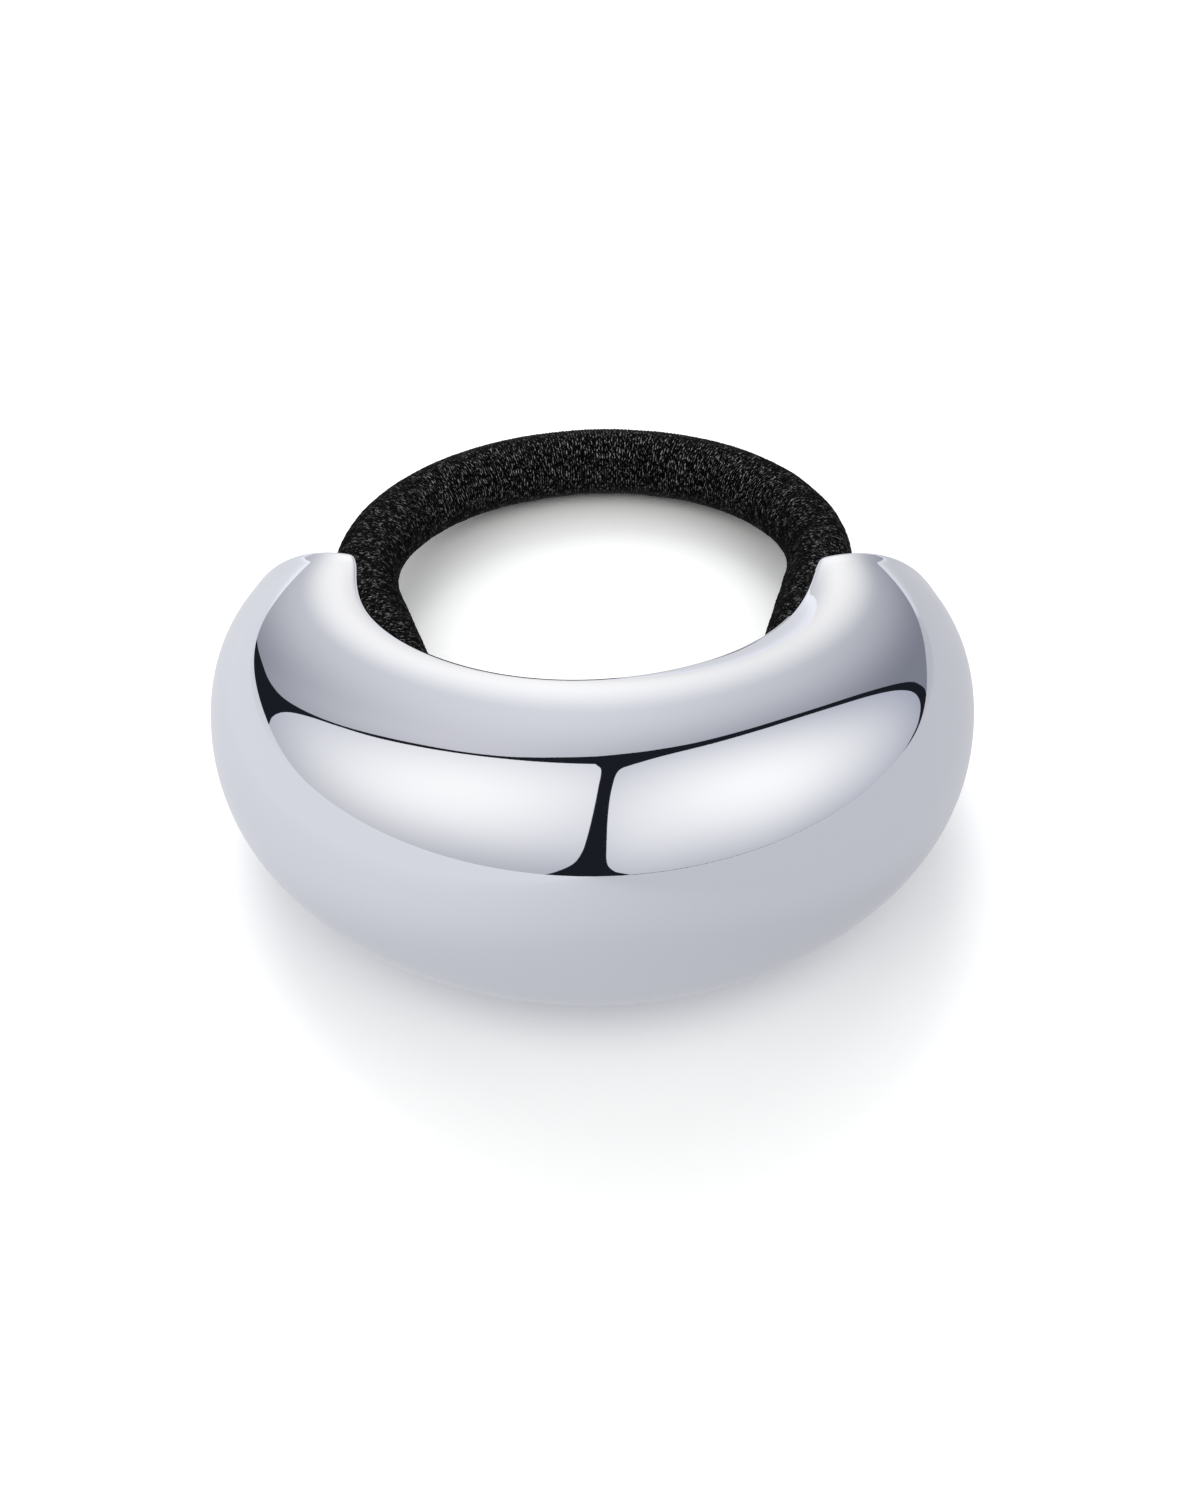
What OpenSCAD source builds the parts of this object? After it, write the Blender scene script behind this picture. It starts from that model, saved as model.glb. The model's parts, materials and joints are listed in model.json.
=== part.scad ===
// Ponytail cuff: a hollow half-ring of polished sheet metal, open like a trough
// towards the ring's centre, over a closed loop of round covered elastic.
// Millimetres. The cuff's closed front faces -Y, the elastic's free loop is at +Y
// and +Z is up. It lies on its side as on a table, leaning back on its thinner ends.
// The origin is under the middle of the whole part's box.

/* [Cuff] */
// Radius, across X, of the ring line that the section's middle follows
ring_rx = 19; // [17:0.2:22]
// Radius of the ring line from front to back
ring_ry = 21.2; // [18:0.2:24]
// Angle from the front round to each open end
end_angle = 105.5; // [96:0.5:112]
// Half width of the section at the front, square to the ring line
front_half_width = 10.8; // [9.5:0.1:12]
// Half width of the section at the ends
end_half_width = 8.1; // [6.5:0.1:9]
// Half height of the section at the front
front_half_height = 11.8; // [10:0.1:14]
// Half height of the section at the ends
end_half_height = 8.1; // [7:0.1:10]
// Fullness of the section: 2 is an ellipse and more is squarer
fullness = 2.2; // [2:0.05:2.5]
// Thickness of the metal
wall = 1.1; // [0.8:0.1:1.6]
// Angle from the section's outermost point round to the rim
rim_angle = 104; // [96:1:110]
// Length of each end's rounded corners, measured along the ring line
corner_length = 7.5; // [4:0.5:10]
// How far round the section the corners take the rim back
corner_angle = 14; // [6:1:20]

/* [Elastic] */
// Thickness of the covered elastic
tie_d = 5; // [4:0.1:6]
// Width of its loop between middle lines
tie_loop_w = 34.6; // [33:0.2:37]
// Length of its loop between middle lines
tie_loop_l = 66; // [60:0.5:70]
// Radius of the loop's tight bend in the front of the trough
tie_front_r = 9; // [7:0.5:12]
// How far below the section's middle the elastic has sunk in the front
tie_drop = 2; // [0:0.5:4]
// How far to the right of the middle the tight bend has slipped
tie_slip = 1.5; // [0:0.1:3]
// Turn of the loop that brings its far end back behind the cuff
tie_turn = 2; // [0:0.2:4]
// How far right of the loop's own middle its far end lies
tie_skew = 1.3; // [0:0.1:2]

/* [Keeper post] */
// Diameter of the post that is soldered in behind the elastic
post_d = 2; // [1.6:0.1:2.6]

/* [Clearances] */
// Gap between the elastic and the metal that it lies against
tie_gap = 0.3; // [0.1:0.05:0.5]

/* [Hidden] */

// Steps of the meshes
arm_steps = 27;
skin_steps = 34;
edge_steps = 3;
tie_rings = 64;
tie_sides = 14;

tie_r = tie_d / 2;

function signed_pow(x, e) = sign(x) * pow(abs(x), e);
function unit(v) = v / norm(v);

// The ring line at angle a, and its outward normal
function ring_at(a) = [ring_rx * sin(a), -ring_ry * cos(a), 0];
function outward_at(a) = unit([ring_ry * sin(a), -ring_rx * cos(a), 0]);

// The section's half sizes: its height falls in step with the way back along Y,
// so that the underside is straight from the front to the ends
function way_back(a) = (1 - cos(a)) / (1 - cos(end_angle));
function half_width(a) = front_half_width - (front_half_width - end_half_width) * pow(a / end_angle, 2);
function half_height(a) = front_half_height - (front_half_height - end_half_height) * way_back(a);

// A point of the polished outer face: t runs round the section from its outermost point
function face_at(a, t) =
    ring_at(a)
    + half_width(a) * signed_pow(cos(t), 2 / fullness) * outward_at(a)
    + [0, 0, half_height(a) * signed_pow(sin(t), 2 / fullness)];

// Directions on that face, measured over a short step: round the section, along the
// arm and square to it
probe = 0.2;
function round_dir(a, t) = unit(face_at(a, t + probe) - face_at(a, t - probe));
function along_dir(a, t) = unit(face_at(a + probe, t) - face_at(a - probe, t));
function face_normal(a, t) = unit(cross(along_dir(a, t), round_dir(a, t)));

// The rim's angle, taken back near each end so that the corners are round
corner_turn = corner_length / ring_rx * 180 / PI;
function into_corner(a) = max(0, (abs(a) - end_angle + corner_turn) / corner_turn);
function rim_at(a) = rim_angle - corner_angle * (1 - sqrt(1 - pow(min(1, into_corner(a)), 2)));

// One closed loop of points round the metal's thickness at angle a. The edge is a half
// circle, and at an open end turn thins the loop and pushes it out to round that too.
function metal_loop(a, turn) =
    let (
        rim = rim_at(a),
        half = wall / 2 * cos(turn),
        push = wall / 2 * sin(turn) * sign(a),
        middle = function(t) face_at(a, t) - wall / 2 * face_normal(a, t) + push * along_dir(a, t)
    )
    concat(
        [for (k = [0 : skin_steps]) let (t = rim * (2 * k / skin_steps - 1)) middle(t) + half * face_normal(a, t)],
        [for (k = [1 : edge_steps]) let (c = 180 * k / (edge_steps + 1))
            middle(rim) + half * (cos(c) * face_normal(a, rim) + sin(c) * round_dir(a, rim))],
        [for (k = [0 : skin_steps]) let (t = rim * (1 - 2 * k / skin_steps)) middle(t) - half * face_normal(a, t)],
        [for (k = [1 : edge_steps]) let (c = 180 * k / (edge_steps + 1))
            middle(-rim) - half * (cos(c) * face_normal(a, -rim) + sin(c) * round_dir(a, -rim))]
    );

// Angles of the loops, crowded towards the ends, and the turns that round the ends
crowding = 0.6;
function arm_angle(s) = end_angle * ((1 - crowding) * s + crowding * sin(90 * s));
end_turns = [60, 30];
loop_places = concat(
    [for (turn = end_turns) [-end_angle, turn]],
    [for (k = [-arm_steps : arm_steps]) [arm_angle(k / arm_steps), 0]],
    [for (k = [len(end_turns) - 1 : -1 : 0]) [end_angle, end_turns[k]]]
);
loops = [for (place = loop_places) metal_loop(place[0], place[1])];
loop_size = len(loops[0]);

// The lean that brings the ends down to the surface, and the box that sets the origin
lean = atan((front_half_height - end_half_height) / (ring_ry * (1 - cos(end_angle))));
function leaned(p) = [p[0], p[1] * cos(lean) + p[2] * sin(lean), p[2] * cos(lean) - p[1] * sin(lean)];
shell_points = [for (l = loops) each [for (p = l) leaned(p)]];
floor_z = min([for (p = shell_points) p[2]]);

// The elastic lies against the trough's inner face in front, and its far end rests on
// the surface. The trough is shallower at the height where the sunken elastic meets it.
function trough_depth(h) =
    (front_half_width - wall) * pow(1 - pow(h / (front_half_height - wall), fullness), 1 / fullness);
tie_meets_h = tie_drop + tie_r / 2;
tie_front_y = -ring_ry - trough_depth(tie_meets_h) + tie_gap + tie_r;
tie_front = leaned([tie_slip, tie_front_y, -tie_drop]);
tie_lean = asin((tie_front[2] - floor_z - tie_r) / tie_loop_l);

// Its middle line: a tight arc in front, and on each side a straight run and a wider arc
// round to the far end. Side 1 is the right and -1 the left, and x runs to that side.
function back_r(side) = tie_loop_w / 2 - side * tie_skew;
function side_span(side) = [side * tie_skew, tie_loop_l - back_r(side) - tie_front_r];
function side_angle(side) =
    let (span = side_span(side))
    atan(span[0] / span[1]) + asin((back_r(side) - tie_front_r) / norm(span));
function side_run(side) = sqrt(pow(norm(side_span(side)), 2) - pow(back_r(side) - tie_front_r, 2));
function front_arc(side) = tie_front_r * (90 - side_angle(side)) * PI / 180;
function back_arc(side) = back_r(side) * (90 + side_angle(side)) * PI / 180;
function half_loop(side) = front_arc(side) + side_run(side) + back_arc(side);
function degrees_round(run, r) = run / r * 180 / PI;
function arc_point(turn, r) = [r * sin(turn), r * (1 - cos(turn))];
function half_loop_at(side, run) =
    run < front_arc(side) ? arc_point(degrees_round(run, tie_front_r), tie_front_r)
    : run < front_arc(side) + side_run(side)
        ? arc_point(90 - side_angle(side), tie_front_r)
            + (run - front_arc(side)) * [sin(side_angle(side)), cos(side_angle(side))]
        : let (p = arc_point(degrees_round(half_loop(side) - run, back_r(side)), back_r(side)))
            [p[0] + side * tie_skew, tie_loop_l - p[1]];
tie_length = half_loop(1) + half_loop(-1);
function flat_loop_at(run) =
    run < 0 ? flat_loop_at(run + tie_length)
    : run <= half_loop(1) ? half_loop_at(1, run)
    : let (p = half_loop_at(-1, tie_length - run)) [-p[0], p[1]];
function tie_at(run) =
    let (
        p = flat_loop_at(run),
        across = p[0] * cos(tie_turn) - p[1] * sin(tie_turn),
        along = p[1] * cos(tie_turn) + p[0] * sin(tie_turn)
    )
    tie_front + [across, along * cos(tie_lean), -along * sin(tie_lean)];
tie_up = [0, sin(tie_lean), cos(tie_lean)];
function tie_ring(run) =
    let (ahead = unit(tie_at(run + probe) - tie_at(run - probe)), aside = cross(ahead, tie_up))
    [for (k = [0 : tie_sides - 1]) let (c = 360 * k / tie_sides)
        tie_at(run) + tie_r * (cos(c) * aside + sin(c) * tie_up)];
tie_points = [for (k = [0 : tie_rings - 1]) each tie_ring(tie_length * k / tie_rings)];

front_y = min([for (p = shell_points) p[1]]);
back_y = max([for (p = tie_points) p[1]]);
origin_shift = [0, -(front_y + back_y) / 2, -floor_z];

// Quads between neighbouring loops of a swept skin
function skin_faces(rings, size, closed) = [
    for (i = [0 : rings - (closed ? 1 : 2)], j = [0 : size - 1])
        let (n = (i + 1) % rings, m = (j + 1) % size)
        [i * size + j, i * size + m, n * size + m, n * size + j]
];

// The narrow face that closes an open end, as quads between its outer and inner rows
half_edge = (edge_steps - 1) / 2;
function place(j) = (j + loop_size) % loop_size;
function across_from(j) = place(2 * skin_steps + 1 + edge_steps - j);
function end_faces() = [
    for (j = [-half_edge : skin_steps + half_edge - 1])
        [place(j), place(j + 1), across_from(j + 1), across_from(j)],
    [place(-half_edge - 1), place(-half_edge), across_from(-half_edge)],
    [place(skin_steps + half_edge), place(skin_steps + half_edge + 1), across_from(skin_steps + half_edge)]
];
first_end = [for (f = end_faces()) [for (k = [len(f) - 1 : -1 : 0]) f[k]]];
last_end = [for (f = end_faces()) [for (v = f) v + (len(loops) - 1) * loop_size]];

module in_place() {
    translate(origin_shift)
        children();
}

// The post stands inside the elastic's bend. Its ends are sunk into the metal, and a
// third of the wall still covers them.
post_sides = 32;
post_cover = wall / 3;
module keeper_post() {
    bend_x = tie_slip - tie_front_r * sin(tie_turn);
    bend_y = tie_front_y + tie_front_r * cos(tie_turn);
    room = tie_front_r - tie_r - tie_gap - post_d / 2;
    post_y = bend_y - sqrt(room * room - bend_x * bend_x);
    outer_side = abs(post_y + ring_ry) + post_d / 2;
    face_height = front_half_height * pow(1 - pow(outer_side / front_half_width, fullness), 1 / fullness);
    post_reach = face_height - post_cover;
    rotate([-lean, 0, 0])
        translate([0, post_y, -post_reach])
            cylinder(h = 2 * post_reach, d = post_d, $fn = post_sides);
}

module cuff_shell() {
    color([0.78, 0.79, 0.83])
        in_place() {
            polyhedron(
                points = shell_points,
                faces = concat(skin_faces(len(loops), loop_size, false), first_end, last_end)
            );
            keeper_post();
        }
}

module hair_tie() {
    color([0.06, 0.06, 0.06])
        in_place()
            polyhedron(points = tie_points, faces = skin_faces(tie_rings, tie_sides, true));
}

cuff_shell();
hair_tie();
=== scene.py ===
import json
from math import asin, atan, atan2, cos, hypot, pi, radians, sin, sqrt, tan

import bmesh
import bpy
from mathutils import Matrix, Vector, noise

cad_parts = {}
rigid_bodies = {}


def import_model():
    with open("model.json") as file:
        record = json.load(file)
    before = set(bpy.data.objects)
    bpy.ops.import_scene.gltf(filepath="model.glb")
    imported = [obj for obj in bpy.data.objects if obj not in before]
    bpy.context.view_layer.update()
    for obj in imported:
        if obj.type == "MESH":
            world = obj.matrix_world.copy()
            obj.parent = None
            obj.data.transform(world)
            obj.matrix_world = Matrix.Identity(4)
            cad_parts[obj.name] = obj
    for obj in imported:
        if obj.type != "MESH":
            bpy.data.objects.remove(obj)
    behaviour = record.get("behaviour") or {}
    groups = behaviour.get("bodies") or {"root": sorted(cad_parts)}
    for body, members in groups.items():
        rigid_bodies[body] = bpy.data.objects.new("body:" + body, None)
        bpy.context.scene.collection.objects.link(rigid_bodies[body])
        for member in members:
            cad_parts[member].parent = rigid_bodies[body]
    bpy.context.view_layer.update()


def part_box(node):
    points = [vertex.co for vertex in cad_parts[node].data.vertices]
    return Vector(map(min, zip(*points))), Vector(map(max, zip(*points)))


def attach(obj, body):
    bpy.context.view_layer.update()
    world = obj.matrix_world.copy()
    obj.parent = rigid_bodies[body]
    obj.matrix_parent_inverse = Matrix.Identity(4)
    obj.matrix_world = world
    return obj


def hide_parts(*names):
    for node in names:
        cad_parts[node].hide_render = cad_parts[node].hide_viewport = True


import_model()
bpy.ops.object.select_all(action="DESELECT")

# Cuff shell. The real one is a single sheet of brass about a millimetre thick, pressed into a
# puffed half-ring that is open like a trough towards the middle. Its rim and open ends are
# rounded over, and it is polished to a mirror and plated silver-coloured.
mm = 0.001
ring_half_width = 19.0 * mm
ring_half_length = 21.2 * mm
end_angle = radians(105.5)
front_half_width = 10.8 * mm
end_half_width = 8.1 * mm
front_half_height = 11.8 * mm
end_half_height = 8.1 * mm
fullness = 2.2
sheet_thickness = 1.1 * mm
rim_angle = radians(102)
rim_reach = radians(6)
rim_reach_wave = 0.9 * pi
rim_unevenness = radians(6.6)
rim_unevenness_wave = 0.85 * pi
rolled_edge = 0.6 * mm
rolled_rim = 0.22 * mm
corner_angle = radians(8)
corner_length = 7.5 * mm
arm_steps = 32
crowding = 0.6
section_steps = 34
rounding = 0.8
lean = atan2(front_half_height - end_half_height, ring_half_length * (1 - cos(end_angle)))

bpy.ops.mesh.primitive_circle_add(vertices=3, radius=mm)
shell = bpy.context.object
shell.name = "polished_shell"
bpy.ops.object.mode_set(mode="EDIT")
bpy.ops.mesh.delete(type="VERT")
for step in range(-arm_steps, arm_steps + 1):
    # One bent wire for each section: a point spun into an arc, squared up a little,
    # stretched to the section's size, turned square to the ring line and moved onto it
    share = step / arm_steps
    share = (1 - crowding) * share + crowding * sin(share * pi / 2)
    angle = end_angle * share
    corner_span = corner_length / ring_half_width
    into_corner = min(1, max(0, (abs(angle) - end_angle + corner_span) / corner_span))
    way_back = (1 - cos(angle)) / (1 - cos(end_angle))
    half_width = front_half_width + (end_half_width - front_half_width) * share * share
    half_height = front_half_height + (end_half_height - front_half_height) * way_back
    # The rim reaches further in halfway along each arm, and more so on the right one
    rim = rim_angle + rim_reach * sin(rim_reach_wave * share) ** 2
    rim += rim_unevenness * sin(rim_unevenness_wave * share)
    rim -= corner_angle * (1 - sqrt(1 - into_corner * into_corner))
    trim = pi / 2 + atan((tan(rim - pi / 2)) ** (2 / fullness)) + rolled_rim / half_height
    if abs(step) == arm_steps:
        angle += rolled_edge / ring_half_length * share
    bpy.ops.mesh.select_all(action="DESELECT")
    bpy.ops.mesh.primitive_circle_add(vertices=3, radius=0.1, location=(cos(trim), 0, -sin(trim)))
    bpy.ops.mesh.merge(type="CENTER")
    bpy.ops.mesh.spin(steps=section_steps, angle=2 * trim, center=(0, 0, 0), axis=(0, 1, 0))
    bpy.ops.mesh.select_linked()
    wire = bmesh.from_edit_mesh(shell.data)
    for point in wire.verts:
        if point.select:
            reach = abs(point.co.x) ** fullness + abs(point.co.z) ** fullness
            point.co *= reach ** (-1 / fullness)
    bpy.ops.transform.resize(value=(half_width, 1, half_height), center_override=(0, 0, 0))
    outward = atan2(-ring_half_width * cos(angle), ring_half_length * sin(angle))
    bpy.ops.transform.rotate(value=-outward, orient_axis="Z", center_override=(0, 0, 0))
    ring_point = (ring_half_width * sin(angle), -ring_half_length * cos(angle), 0)
    bpy.ops.transform.translate(value=ring_point)
bpy.ops.mesh.select_all(action="SELECT")
bpy.ops.mesh.bridge_edge_loops()
bpy.ops.mesh.select_all(action="SELECT")
bpy.ops.mesh.normals_make_consistent(inside=False)
bpy.ops.transform.rotate(value=lean, orient_axis="X", center_override=(0, 0, 0))
bpy.ops.object.mode_set(mode="OBJECT")

# The sheet is leant back until its front and ends touch the table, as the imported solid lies
shell_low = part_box("cuff_shell")[0]
front = min(point.co.y for point in shell.data.vertices)
bottom = min(point.co.z for point in shell.data.vertices)
ring_centre = Vector((0, shell_low.y - front, shell_low.z - bottom))
bpy.ops.object.mode_set(mode="EDIT")
bpy.ops.mesh.select_all(action="SELECT")
bpy.ops.transform.translate(value=ring_centre)
bpy.ops.object.mode_set(mode="OBJECT")

wall = shell.modifiers.new("wall", "SOLIDIFY")
wall.thickness = sheet_thickness
wall.offset = -1
wall.use_even_offset = True
wall.material_offset = 1
wall.edge_crease_outer = rounding
wall.edge_crease_inner = rounding
smooth = shell.modifiers.new("smooth", "SUBSURF")
smooth.levels = 2
smooth.render_levels = 2
bpy.ops.object.modifier_apply(modifier="wall")
bpy.ops.object.modifier_apply(modifier="smooth")
bpy.ops.object.shade_smooth()


def fill_socket(tree, socket, value):
    """Sets a shader node's socket, or links it to another node's output."""
    if isinstance(value, bpy.types.NodeSocket):
        tree.links.new(value, socket)
    else:
        socket.default_value = value


def add_node(tree, kind, **sockets):
    """A shader node of that kind, with some of its sockets set or linked."""
    node = tree.nodes.new(kind)
    for name, value in sockets.items():
        fill_socket(tree, node.inputs[name.replace("_", " ")], value)
    return node


def new_material(name):
    """A material with only its output node, and its node tree."""
    material = bpy.data.materials.new(name)
    material.use_nodes = True
    tree = material.node_tree
    tree.nodes.clear()
    tree.nodes.new("ShaderNodeOutputMaterial")
    return material, tree


def finish_material(tree, shader):
    """Links a shader to the material's output."""
    tree.links.new(shader.outputs[0], tree.nodes["Material Output"].inputs["Surface"])


# Wear group: the faint cloudiness and hair-fine polishing marks that any plated metal has,
# used by the outer mirror, the plainer inside and the post, each with its own amounts.
wear = bpy.data.node_groups.new("plating_wear", "ShaderNodeTree")
wear.interface.new_socket("Smoothest", in_out="INPUT", socket_type="NodeSocketFloat")
wear.interface.new_socket("Dullest", in_out="INPUT", socket_type="NodeSocketFloat")
wear.interface.new_socket("Mark Depth", in_out="INPUT", socket_type="NodeSocketFloat")
wear.interface.new_socket("Roughness", in_out="OUTPUT", socket_type="NodeSocketFloat")
wear.interface.new_socket("Normal", in_out="OUTPUT", socket_type="NodeSocketVector")
given = wear.nodes.new("NodeGroupInput")
made = wear.nodes.new("NodeGroupOutput")
place = wear.nodes.new("ShaderNodeTexCoord")
haze = add_node(wear, "ShaderNodeTexNoise", Vector=place.outputs["Object"], Scale=260.0, Detail=3.0)
haze_range = add_node(wear, "ShaderNodeMapRange", Value=haze.outputs["Fac"], From_Min=0.35, From_Max=0.7)
wear.links.new(given.outputs["Smoothest"], haze_range.inputs["To Min"])
wear.links.new(given.outputs["Dullest"], haze_range.inputs["To Max"])
wear.links.new(haze_range.outputs["Result"], made.inputs["Roughness"])
along_marks = add_node(wear, "ShaderNodeMapping", Vector=place.outputs["Object"],
                       Scale=(600.0, 9000.0, 9000.0))
marks = add_node(wear, "ShaderNodeTexNoise", Vector=along_marks.outputs[0], Scale=1.0, Detail=2.0)
dents = add_node(wear, "ShaderNodeBump", Height=marks.outputs["Fac"], Distance=0.00001)
wear.links.new(given.outputs["Mark Depth"], dents.inputs["Strength"])
wear.links.new(dents.outputs["Normal"], made.inputs["Normal"])


def plated_metal(name, colour, smoothest, dullest, mark_depth):
    """Silver-coloured plating, from mirror to satin."""
    material, tree = new_material(name)
    shader = add_node(tree, "ShaderNodeBsdfPrincipled", Base_Color=colour, Metallic=1.0)
    surface = tree.nodes.new("ShaderNodeGroup")
    surface.node_tree = wear
    surface.inputs["Smoothest"].default_value = smoothest
    surface.inputs["Dullest"].default_value = dullest
    surface.inputs["Mark Depth"].default_value = mark_depth
    tree.links.new(surface.outputs["Roughness"], shader.inputs["Roughness"])
    tree.links.new(surface.outputs["Normal"], shader.inputs["Normal"])
    finish_material(tree, shader)
    return material


plating_colour = (0.78, 0.79, 0.84, 1)
mirror = plated_metal("mirror_plating", plating_colour, smoothest=0.012, dullest=0.03, mark_depth=0.01)
inside = plated_metal("inside_plating", plating_colour, smoothest=0.05, dullest=0.12, mark_depth=0.06)
shell.data.materials.append(mirror)
shell.data.materials.append(inside)
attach(shell, "root")
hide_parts("cuff_shell")

# Keeper post. A plain steel pin inside the elastic's bend, set upright in the trough and
# soldered top and bottom, with a small fillet of solder running up it at each end.
post_radius = 1.0 * mm
post_place = -23.84 * mm
post_reach = 10.5 * mm
fillet_radius = 2.0 * mm
fillet_height = 1.3 * mm
fillet_steps = 5
facing_end = 0.9
plain_length = 2 * (post_reach - fillet_height)
bpy.ops.mesh.primitive_cylinder_add(vertices=32, radius=post_radius, depth=plain_length, end_fill_type="NGON")
post = bpy.context.object
post.name = "keeper_post"
bpy.ops.object.mode_set(mode="EDIT")
bpy.ops.mesh.select_mode(type="FACE")
for end in (1, -1):
    solid = bmesh.from_edit_mesh(post.data)
    for face in solid.faces:
        face.select_set(abs(face.normal.z) > facing_end and face.calc_center_median().z * end > 0)
    bmesh.update_edit_mesh(post.data)
    for turn in range(fillet_steps):
        swing_before = pi / 2 * turn / fillet_steps
        swing = pi / 2 * (turn + 1) / fillet_steps
        before = fillet_radius - (fillet_radius - post_radius) * cos(swing_before)
        widened = fillet_radius - (fillet_radius - post_radius) * cos(swing)
        rise = fillet_height * (sin(swing) - sin(swing_before))
        bpy.ops.mesh.extrude_region_move(TRANSFORM_OT_translate={"value": (0, 0, rise * end)})
        bpy.ops.transform.resize(value=(widened / before, widened / before, 1))
bpy.ops.mesh.select_all(action="SELECT")
bpy.ops.transform.translate(value=(0, post_place, 0))
bpy.ops.transform.rotate(value=lean, orient_axis="X", center_override=(0, 0, 0))
bpy.ops.transform.translate(value=ring_centre)
bpy.ops.object.mode_set(mode="OBJECT")
bpy.ops.object.shade_smooth_by_angle(angle=radians(40))
post_colour = (0.72, 0.72, 0.75, 1)
satin = plated_metal("post_plating", post_colour, smoothest=0.2, dullest=0.35, mark_depth=0.3)
post.data.materials.append(satin)
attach(post, "root")

# Hair elastic. A thick ring of rubber strands under a close winding of crinkled black yarn,
# whose turns run across the cord. It is modelled straight, given its yarn, and then bent
# round the loop: a tight bend in the trough, two straight sides and the wide free end.
cord_radius = 2.53 * mm
front_bend = 9.0 * mm
loop_width = 34.6 * mm
loop_length = 66.0 * mm
loop_skew = 1.3 * mm
loop_turn = radians(2.0)
loop_lean = radians(7.178)
yarn_pitch = 0.24 * mm
yarn_relief = 0.05 * mm
cord_sides = 36
weld_distance = 0.03 * mm

# The line that it is bent round. Each side has a front arc, a straight run and a back arc,
# and the far end lies a little right of the loop's middle, so the back arcs differ.
bpy.ops.curve.primitive_bezier_curve_add()
route = bpy.context.object
route.data.dimensions = "3D"
route.data.twist_mode = "Z_UP"
route.data.resolution_u = 64
line = route.data.splines[0]
line.bezier_points.add(6)
line.use_cyclic_u = True
for knot in line.bezier_points:
    knot.handle_left_type = "FREE"
    knot.handle_right_type = "FREE"
cord_length = 0
for side in (1, -1):
    back_bend = loop_width / 2 - side * loop_skew
    across = side * loop_skew
    between = loop_length - back_bend - front_bend
    slant = atan(across / between) + asin((back_bend - front_bend) / hypot(across, between))
    side_run = sqrt(across ** 2 + between ** 2 - (back_bend - front_bend) ** 2)
    front_swing = pi / 2 - slant
    back_swing = pi / 2 + slant
    cord_length += front_bend * front_swing + side_run + back_bend * back_swing
    front_handle = 4 / 3 * tan(front_swing / 4) * front_bend
    back_handle = 4 / 3 * tan(back_swing / 8) * back_bend
    stations = [(0, 0, 0, front_handle)]
    reach = front_bend * sin(front_swing)
    rise = front_bend * (1 - cos(front_swing))
    stations.append((reach, rise, front_swing, side_run / 3))
    for swing, handle in ((back_swing, back_handle), (back_swing / 2, back_handle), (0, 0)):
        reach = across + back_bend * sin(swing)
        rise = loop_length - back_bend * (1 - cos(swing))
        stations.append((reach, rise, pi - swing, handle))
    handles_before = (0, front_handle, side_run / 3, back_handle, back_handle)
    for number, (reach, rise, heading, handle_after) in enumerate(stations):
        knot = line.bezier_points[number * side]
        knot.co = (reach * side, rise, 0)
        travel = Vector((cos(heading) * side, sin(heading), 0))
        if handle_after and side > 0:
            knot.handle_right = knot.co + travel * handle_after
        if handle_after and side < 0:
            knot.handle_left = knot.co + travel * handle_after
        if handles_before[number] and side > 0:
            knot.handle_left = knot.co - travel * handles_before[number]
        if handles_before[number] and side < 0:
            knot.handle_right = knot.co - travel * handles_before[number]
yarn_turns = round(cord_length / yarn_pitch)
yarn_pitch = cord_length / yarn_turns

bpy.ops.mesh.primitive_circle_add(vertices=cord_sides, radius=cord_radius)
cord = bpy.context.object
cord.name = "wound_elastic"
bpy.ops.object.mode_set(mode="EDIT")
bpy.ops.mesh.select_mode(type="VERT")
bpy.ops.mesh.select_all(action="SELECT")
bpy.ops.transform.rotate(value=pi / 2, orient_axis="Y", center_override=(0, 0, 0))
drawn_in = 1 - yarn_relief / cord_radius
for squeeze in (drawn_in, 1 / drawn_in):
    bpy.ops.mesh.extrude_region_move(TRANSFORM_OT_translate={"value": (yarn_pitch / 2, 0, 0)})
    bpy.ops.transform.resize(value=(1, squeeze, squeeze))
bpy.ops.object.mode_set(mode="OBJECT")
winding = cord.modifiers.new("winding", "ARRAY")
winding.count = yarn_turns
winding.use_relative_offset = False
winding.use_constant_offset = True
winding.constant_offset_displace = (yarn_pitch, 0, 0)
winding.use_merge_vertices = True
winding.merge_threshold = 0.001 * mm
bpy.ops.object.modifier_apply(modifier="winding")

# The yarn's turns wander along the cord and bulge here and there, and the cord has taken
# a shallow crease on top of its inner side in each shoulder, where it is bent. A wave has
# its height in millimetres and about how many swells it has to the millimetre. A crease has
# its middle and its half length along the cord, and its depth
wander_waves = ((0.16, 0.8), (0.07, 2.6))
bulge_waves = ((0.05, 0.35), (0.035, 4.2))
creases = ((66.0 * mm, 13.0 * mm, 0.28 * mm), (106.0 * mm, 8.0 * mm, 0.18 * mm))
crease_turn = radians(55)
crease_spread = radians(16)
crease_fade = 2.7


def unevenness(spot, waves):
    """How far the yarn is out of true at a spot, from smooth waves added up."""
    return sum(height * noise.noise(spot * closeness) for height, closeness in waves) * mm


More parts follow.
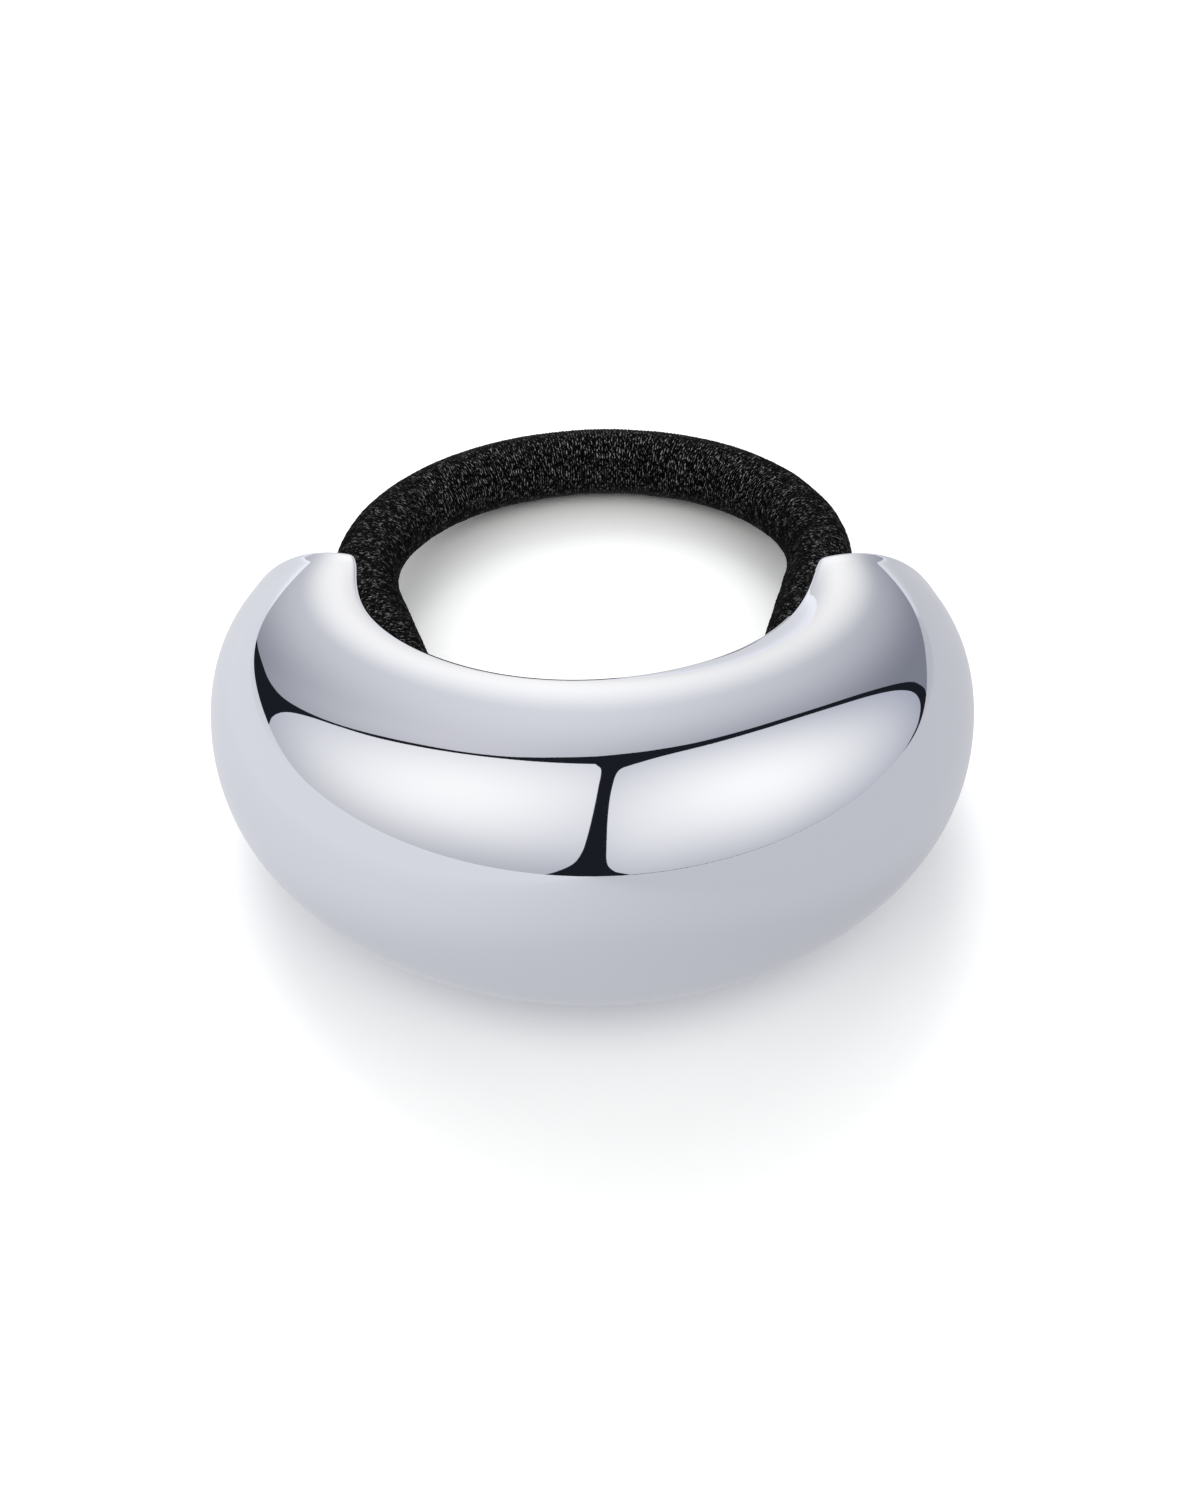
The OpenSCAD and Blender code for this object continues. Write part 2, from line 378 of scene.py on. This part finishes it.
for point in cord.data.vertices:
    run = 2 * pi * point.co.x / cord_length
    turn = atan2(point.co.y, point.co.z)
    bend = cord_length / (2 * pi)
    out = bend + cord_radius * sin(turn)
    spot = Vector((out * cos(run), out * sin(run), cord_radius * cos(turn))) / mm
    bulge = unevenness(spot, bulge_waves)
    for middle, half_length, depth in creases:
        along = max(0, 1 - ((point.co.x - middle) / half_length) ** 2)
        across = ((turn - crease_turn) / crease_spread) ** 2
        bulge -= depth * along * crease_fade ** -across
    swell = 1 + bulge / cord_radius
    point.co.x += unevenness(spot, wander_waves)
    point.co.y *= swell
    point.co.z *= swell

weave_map = cord.data.uv_layers.new(name="yarn")
for face in cord.data.polygons:
    corners = [cord.data.vertices[v].co for v in face.vertices]
    middle = sum(corners, Vector()) / len(corners)
    face_turn = atan2(middle.y, middle.z)
    for loop, corner in zip(face.loop_indices, corners):
        turn = atan2(corner.y, corner.z)
        if turn - face_turn > pi:
            turn -= 2 * pi
        if face_turn - turn > pi:
            turn += 2 * pi
        weave_map.data[loop].uv = (corner.x / mm, turn * cord_radius / mm)

bpy.ops.object.select_all(action="DESELECT")
bpy.context.view_layer.objects.active = cord
cord.select_set(True)
bend_round = cord.modifiers.new("bend_round", "CURVE")
bend_round.object = route
bend_round.deform_axis = "POS_X"
bpy.ops.object.modifier_apply(modifier="bend_round")
bpy.data.objects.remove(route)
bpy.ops.object.mode_set(mode="EDIT")
bpy.ops.mesh.select_all(action="SELECT")
bpy.ops.mesh.remove_doubles(threshold=weld_distance)
bpy.ops.mesh.normals_make_consistent(inside=False)
bpy.ops.transform.rotate(value=-loop_turn, orient_axis="Z", center_override=(0, 0, 0))
bpy.ops.transform.rotate(value=loop_lean, orient_axis="X", center_override=(0, 0, 0))
bpy.ops.object.mode_set(mode="OBJECT")
tie_low, tie_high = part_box("hair_tie")
low = Vector(min(point.co[axis] for point in cord.data.vertices) for axis in range(3))
high = Vector(max(point.co[axis] for point in cord.data.vertices) for axis in range(3))
bpy.ops.object.mode_set(mode="EDIT")
bpy.ops.mesh.select_all(action="SELECT")
bpy.ops.transform.translate(value=(tie_low + tie_high - low - high) / 2)
bpy.ops.object.mode_set(mode="OBJECT")
bpy.ops.object.shade_smooth()


def work_out(tree, operation, *values):
    """A math node's output, from numbers or other nodes' outputs."""
    node = tree.nodes.new("ShaderNodeMath")
    node.operation = operation
    for socket, value in zip(node.inputs, values):
        fill_socket(tree, socket, value)
    return node.outputs[0]


def mix_colours(tree, factor, first, second):
    """A colour that goes from the first to the second as the factor goes from 0 to 1."""
    node = tree.nodes.new("ShaderNodeMix")
    node.data_type = "RGBA"
    tree.links.new(factor, node.inputs["Factor"])
    node.inputs[6].default_value = first
    node.inputs[7].default_value = second
    return node.outputs[2]


# The near-black is the yarn's own colour. The light grey is painted highlight, laid on the thread crests as
# glints.
yarn_black = (0.0022, 0.0022, 0.0024, 1)
painted_glint_grey = (0.38, 0.375, 0.37, 1)
yarn, tree = new_material("black_yarn")
threads_map = tree.nodes.new("ShaderNodeUVMap")
threads_map.uv_map = "yarn"
# Painted glints: light grey on short, broken thread crests, faded by painted shade where the cord turns away
threads = add_node(tree, "ShaderNodeTexWave", Vector=threads_map.outputs["UV"], Scale=1.45,
                   Distortion=7.0, Detail=3.0, Detail_Scale=2.4, Detail_Roughness=0.6)
across = add_node(tree, "ShaderNodeMapping", Vector=threads_map.outputs["UV"], Scale=(6.2, 2.4, 1.0))
strokes = add_node(tree, "ShaderNodeTexNoise", Vector=across.outputs[0], Scale=1.0, Detail=3.0,
                   Roughness=0.65)
ridge = add_node(tree, "ShaderNodeMapRange", Value=threads.outputs["Fac"], From_Min=0.53, From_Max=1.0)
broken = add_node(tree, "ShaderNodeMapRange", Value=strokes.outputs["Fac"], From_Min=0.5, From_Max=0.62)
painted_glint_mask = work_out(tree, "MULTIPLY", ridge.outputs["Result"], broken.outputs["Result"])
turned_away = add_node(tree, "ShaderNodeLayerWeight", Blend=0.5)
painted_side_shade = add_node(tree, "ShaderNodeMapRange", Value=turned_away.outputs["Facing"],
                  From_Min=0.15, From_Max=0.75, To_Min=1.0, To_Max=0.2)
painted_glints = work_out(tree, "MULTIPLY", painted_glint_mask, painted_side_shade.outputs["Result"])
height = work_out(tree, "ADD", threads.outputs["Fac"], strokes.outputs["Fac"])
relief = add_node(tree, "ShaderNodeBump", Height=height, Strength=0.8, Distance=0.00006)
# The specular level follows the painted glints too, so it is near none in the gaps and at the cord's sides:
# painted shade.
painted_glint_gloss = add_node(tree, "ShaderNodeMapRange", Value=painted_glints, To_Min=0.015, To_Max=0.6)
fabric = add_node(tree, "ShaderNodeBsdfPrincipled", Roughness=0.5, Normal=relief.outputs["Normal"],
                  Base_Color=mix_colours(tree, painted_glints, yarn_black, painted_glint_grey),
                  Specular_IOR_Level=painted_glint_gloss.outputs["Result"])
finish_material(tree, fabric)
cord.data.materials.append(yarn)
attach(cord, "root")
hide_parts("hair_tie")

# Table. A wide round sheet of plain white laminate, matt, so that it shows only soft shade. Its
# edge has curled up a little at two places behind. The camera sees it overexposed, as in a
# cut-out product photo. The metal mirrors a dim sheet with painted light: a glow, no lamp, brighter left and
# behind.
table_reach = 2.8
table_edge = 0.4
# How narrow the wedge of painted light behind the cuff is
painted_light_wedge = 2.2
# Each curled place has its middle and its half span round the table, and its rise
curled_places = ((radians(141), radians(29), 0.19), (radians(-123), radians(33), 0.165))
bpy.ops.mesh.primitive_circle_add(vertices=240, radius=table_reach, fill_type="NGON")
table = bpy.context.object
table.name = "table"
bpy.ops.object.mode_set(mode="EDIT")
bpy.ops.mesh.select_mode(type="FACE")
bpy.ops.mesh.inset(thickness=table_edge)
bpy.ops.object.mode_set(mode="OBJECT")
for point in table.data.vertices:
    azimuth = atan2(point.co.x, -point.co.y)
    for middle, half_span, rise in curled_places:
        away = abs(azimuth - middle) / half_span
        if point.co.length > table_reach - table_edge / 2 and away < 1:
            point.co.z += rise * (1 + cos(pi * away)) / 2
white, tree = new_material("white_laminate_painted_glow")
# Painted light: for all but camera rays the table glows, though it is no lamp, brighter on the left and in a
# wedge behind. The metal mirrors this glow and it lights the parts.
along_table = tree.nodes.new("ShaderNodeTexCoord")
sideways = add_node(tree, "ShaderNodeSeparateXYZ", Vector=along_table.outputs["Object"])
painted_light_left = add_node(tree, "ShaderNodeMapRange", Value=sideways.outputs["X"],
                         From_Min=-0.06, From_Max=0.04, To_Min=0.61, To_Max=0.42)
either_side = work_out(tree, "ABSOLUTE", sideways.outputs["X"])
straight_back = work_out(tree, "MULTIPLY_ADD", either_side, -painted_light_wedge, sideways.outputs["Y"])
painted_light_behind = add_node(tree, "ShaderNodeMapRange", Value=straight_back,
                           From_Min=0.02, From_Max=0.3, To_Min=0.0, To_Max=0.2)
painted_light_strength = work_out(tree, "ADD", painted_light_left.outputs["Result"], painted_light_behind.outputs["Result"])
glow = add_node(tree, "ShaderNodeEmission", Color=(0.98, 0.99, 1.03, 1), Strength=painted_light_strength)
laminate = add_node(tree, "ShaderNodeBsdfDiffuse", Color=(0.2, 0.2, 0.21, 1))
mirrored = tree.nodes.new("ShaderNodeAddShader")
tree.links.new(laminate.outputs[0], mirrored.inputs[0])
tree.links.new(glow.outputs[0], mirrored.inputs[1])
overexposed = add_node(tree, "ShaderNodeBsdfDiffuse", Color=(1.185, 1.19, 1.185, 1))
seen = tree.nodes.new("ShaderNodeLightPath")
either = tree.nodes.new("ShaderNodeMixShader")
tree.links.new(seen.outputs["Is Camera Ray"], either.inputs[0])
tree.links.new(mirrored.outputs[0], either.inputs[1])
tree.links.new(overexposed.outputs[0], either.inputs[2])
finish_material(tree, either)
white.cycles.emission_sampling = "NONE"
table.data.materials.append(white)

# Light tent. Three translucent panels, lit from outside, hang over the table with narrow dark
# slits between them: one in front, where the camera looks in, and two behind. The points of
# an edge are given in degrees from straight overhead, to the right and towards the front.
tent_reach = 3.0
plan_reach = 100
low_start, low_stop = 0.61, 1.4


def edge_point(points, share):
    """The point that far along a smooth line through points of the plan."""
    points = [Vector(point) for point in points]
    runs = [0]
    for start, stop in zip(points, points[1:]):
        runs.append(runs[-1] + (stop - start).length)
    run = share * runs[-1]
    step = max(number for number in range(len(points) - 1) if runs[number] <= run)
    last = len(points) - 1
    slopes = []
    for number in (step, step + 1):
        before = max(0, number - 1)
        after = min(last, number + 1)
        slopes.append((points[after] - points[before]) / (runs[after] - runs[before]))
    length = runs[step + 1] - runs[step]
    t = (run - runs[step]) / length
    start, stop = points[step], points[step + 1]
    bulge = (slopes[0] * (1 - t) - slopes[1] * t) * length * t * (1 - t)
    return start + (stop - start) * t * t * (3 - 2 * t) + bulge


def tent_panel(name, start_edge, stop_edge, base_glow, patches, low_loss):
    """A panel from one slit's edge to the next, curved like a dome. Its glow changes in soft
    oval patches, each with its middle, its two reaches, its turn in the plan and the light
    that it adds or takes away, and fades towards its low end. The camera and the lamps see
    through the panel."""
    bpy.ops.mesh.primitive_grid_add(x_subdivisions=60, y_subdivisions=90, size=1)
    panel = bpy.context.object
    panel.name = name
    plan = panel.data.attributes.new("plan", "FLOAT_VECTOR", "POINT")
    edges = {}
    for point in panel.data.vertices:
        share = round(0.5 - point.co.y, 4)
        if share not in edges:
            edges[share] = (edge_point(start_edge, share), edge_point(stop_edge, share))
        start, stop = edges[share]
        across = point.co.x + 0.5
        first = atan2(start.x, start.y)
        last = atan2(stop.x, stop.y)
        if last < first:
            last += 2 * pi
        azimuth = first + (last - first) * across
        down = start.length + (stop.length - start.length) * across
        plan_place = (sin(azimuth) * down / plan_reach, cos(azimuth) * down / plan_reach, 0)
        plan.data[point.index].vector = plan_place
        down = radians(down)
        point.co = Vector((sin(azimuth) * sin(down), -cos(azimuth) * sin(down), cos(down))) * tent_reach
    material, tree = new_material(name + "_glow")
    place = tree.nodes.new("ShaderNodeAttribute")
    place.attribute_name = "plan"
    light = add_node(tree, "ShaderNodeCombineXYZ", X=base_glow[0], Y=base_glow[1], Z=base_glow[2])
    for middle, reaches, turn, tint in patches:
        seen_from = add_node(tree, "ShaderNodeMapping", Vector=place.outputs["Vector"],
                             Location=(middle[0] / plan_reach, middle[1] / plan_reach, 0),
                             Rotation=(0, 0, radians(turn)),
                             Scale=(reaches[0] / plan_reach, reaches[1] / plan_reach, 1))
        seen_from.vector_type = "TEXTURE"
        away = add_node(tree, "ShaderNodeVectorMath", Vector=seen_from.outputs[0])
        away.operation = "LENGTH"
        fade = add_node(tree, "ShaderNodeMapRange", Value=away.outputs["Value"], To_Min=1.0, To_Max=0.0)
        fade.interpolation_type = "SMOOTHSTEP"
        patch = tree.nodes.new("ShaderNodeVectorMath")
        patch.operation = "MULTIPLY_ADD"
        patch.inputs[0].default_value = tint
        tree.links.new(fade.outputs["Result"], patch.inputs[1])
        tree.links.new(light.outputs[0], patch.inputs[2])
        light = patch
    from_overhead = add_node(tree, "ShaderNodeVectorMath", Vector=place.outputs["Vector"])
    from_overhead.operation = "LENGTH"
    low = add_node(tree, "ShaderNodeMapRange", Value=from_overhead.outputs["Value"],
                   From_Min=low_start, From_Max=low_stop, To_Min=1.0, To_Max=1 - low_loss)
    low.interpolation_type = "SMOOTHSTEP"
    glow = add_node(tree, "ShaderNodeEmission", Color=light.outputs[0], Strength=low.outputs["Result"])
    finish_material(tree, glow)
    material.cycles.emission_sampling = "NONE"
    panel.data.materials.append(material)
    panel.visible_camera = False
    panel.visible_shadow = False


tent_panel("front_left_panel",
           [(0.9, 4.2), (-6.7, 3.3), (-15.6, 1.0), (-25.8, -3.1), (-35.7, -8.7), (-45.1, -16.1),
            (-52.8, -25.2), (-57.4, -31.4), (-63.2, -37.3), (-67.9, -39.9), (-72.7, -40.7), (-76.3, -39.8),
            (-82, -38)],
           [(0.9, 4.2), (2.3, 9), (2.1, 24), (1.2, 42), (-0.3, 58), (-2.3, 70.7), (-4, 76.3),
            (-6.3, 80.7), (-9.9, 83.9), (-17.6, 87.2), (-27, 88)],
           base_glow=(0.635, 0.645, 0.706),
           patches=[((-38.3, 24.1), (95, 68.8), 32, (0.565, 0.547, 0.442))],
           low_loss=0.64)
tent_panel("front_right_panel",
           [(9.4, 4.4), (6.9, 8.4), (6.1, 13), (5.8, 20), (5.6, 36), (5.8, 54), (6.1, 64), (6.4, 73),
            (6.7, 78.6), (7.6, 82.9), (9.5, 85.5), (11.8, 87), (18, 88)],
           [(9.4, 4.4), (15.2, -3.5), (22.6, -12.8), (28.9, -22.4), (35.3, -32.2), (43.6, -41),
            (52.7, -47.6), (59.9, -50.9), (63.6, -51.4), (68.2, -50.3), (72.7, -47.4), (78.7, -40.9),
            (83.9, -31.4), (86.5, -25)],
           base_glow=(0.124, 0.151, 0.283),
           patches=[((40.1, 26.3), (79.7, 130.7), 27.5, (1.154, 1.119, 0.936)),
                    ((33.4, 45.3), (41.5, 82.6), -17.2, (-0.117, -0.116, -0.097))],
           low_loss=0.19)
tent_panel("back_panel",
           [(-10, -1.7), (0.3, -2.9), (6.2, -5.3), (11.2, -8), (18.6, -14.1), (25.3, -23), (32.2, -33.7),
            (39.9, -42.5), (47.9, -49.1), (56.5, -55.3), (60.6, -56.4), (64.9, -56.7), (72, -53)],
           [(-10, -1.7), (-16.9, -2), (-25.7, -5.1), (-34.9, -10.8), (-44.5, -18.4), (-50.9, -25.1),
            (-55.8, -33), (-58.7, -41.4), (-59.2, -48), (-57.1, -56.5), (-52.9, -65), (-47.9, -74.4),
            (-41, -83.6), (-38, -87)],
           base_glow=(0.244, 0.252, 0.299),
           patches=[((-1.6, -62.5), (46.7, 79.4), -30.4, (0.522, 0.523, 0.507)),
                    ((-2.3, -79.5), (16.3, 34.4), -2, (0.502, 0.481, 0.404)),
                    ((-22.8, -15.9), (79.4, 54.2), 53.1, (0.476, 0.47, 0.458))],
           low_loss=0)

# Lamps. Two more soft lights stand behind the tent's back panel and a little to the left, one
# wider than the other. They brighten the table round the cuff and throw soft shade forward,
# and the metal doesn't mirror them. Each has its strength, then its width and tilt in degrees.
lamp_swing = radians(9)
for name, strength, width, tilt in (("back_lamp", 1.5, 36, -58), ("wide_back_lamp", 1.0, 64, -55)):
    bpy.ops.object.light_add(type="SUN")
    lamp = bpy.context.object
    lamp.name = name
    lamp.data.energy = strength
    lamp.data.angle = radians(width)
    lamp.rotation_euler = (radians(tilt), 0, lamp_swing)
    lamp.visible_glossy = False

# Studio. The room round the tent is nearly dark, as the slits show in the metal. Past the
# table's edge the camera sees plain white, as in a cut-out product photo.
dark = (0.0125, 0.0145, 0.0195, 1)
cut_out_white = (1.05, 1.05, 1.05, 1)
world = bpy.data.worlds.new("dark_studio")
bpy.context.scene.world = world
world.use_nodes = True
tree = world.node_tree
tree.nodes.clear()
seen = tree.nodes.new("ShaderNodeLightPath")
backdrop = mix_colours(tree, seen.outputs["Is Camera Ray"], dark, cut_out_white)
sky = add_node(tree, "ShaderNodeBackground", Color=backdrop)
world.cycles.sampling_method = "NONE"
tree.links.new(sky.outputs[0], tree.nodes.new("ShaderNodeOutputWorld").inputs["Surface"])

# Camera. A long lens about half a metre away, looking down on the cuff's closed front. The
# photo has the ring's centre above its own middle, so the lens points a little below it.
camera_turn = radians(-0.81)
camera_drop = radians(37.66)
camera_roll = radians(-0.42)
camera_reach = 551.5 * mm
image_width, image_height = 1200, 1501
pixels_per_mm = 13.6
ring_pixel = Vector((592.8, 691.1))
sensor_width = 36
ahead = Vector((sin(camera_turn) * cos(camera_drop), cos(camera_turn) * cos(camera_drop), -sin(camera_drop)))
right = Vector((cos(camera_turn), -sin(camera_turn), 0))
up = right.cross(ahead)
rolled_right = cos(camera_roll) * right + sin(camera_roll) * up
rolled_up = cos(camera_roll) * up - sin(camera_roll) * right
eye = ring_centre - ahead * camera_reach
aside = (image_width / 2 - ring_pixel.x) / pixels_per_mm * mm
lower = (ring_pixel.y - image_height / 2) / pixels_per_mm * mm
target = ring_centre + rolled_right * aside + rolled_up * lower
back = (eye - target).normalized()
side = (rolled_right - back * rolled_right.dot(back)).normalized()
bpy.ops.object.camera_add(location=eye)
camera = bpy.context.object
camera.rotation_mode = "QUATERNION"
turned = [side, back.cross(side), back]
camera.rotation_quaternion = Matrix(turned).transposed().to_quaternion()
camera.data.sensor_width = sensor_width
camera.data.lens = sensor_width * camera_reach / mm * pixels_per_mm / image_height
camera.data.clip_start = 0.01
bpy.context.scene.camera = camera
bpy.context.scene.view_settings.view_transform = "Standard"
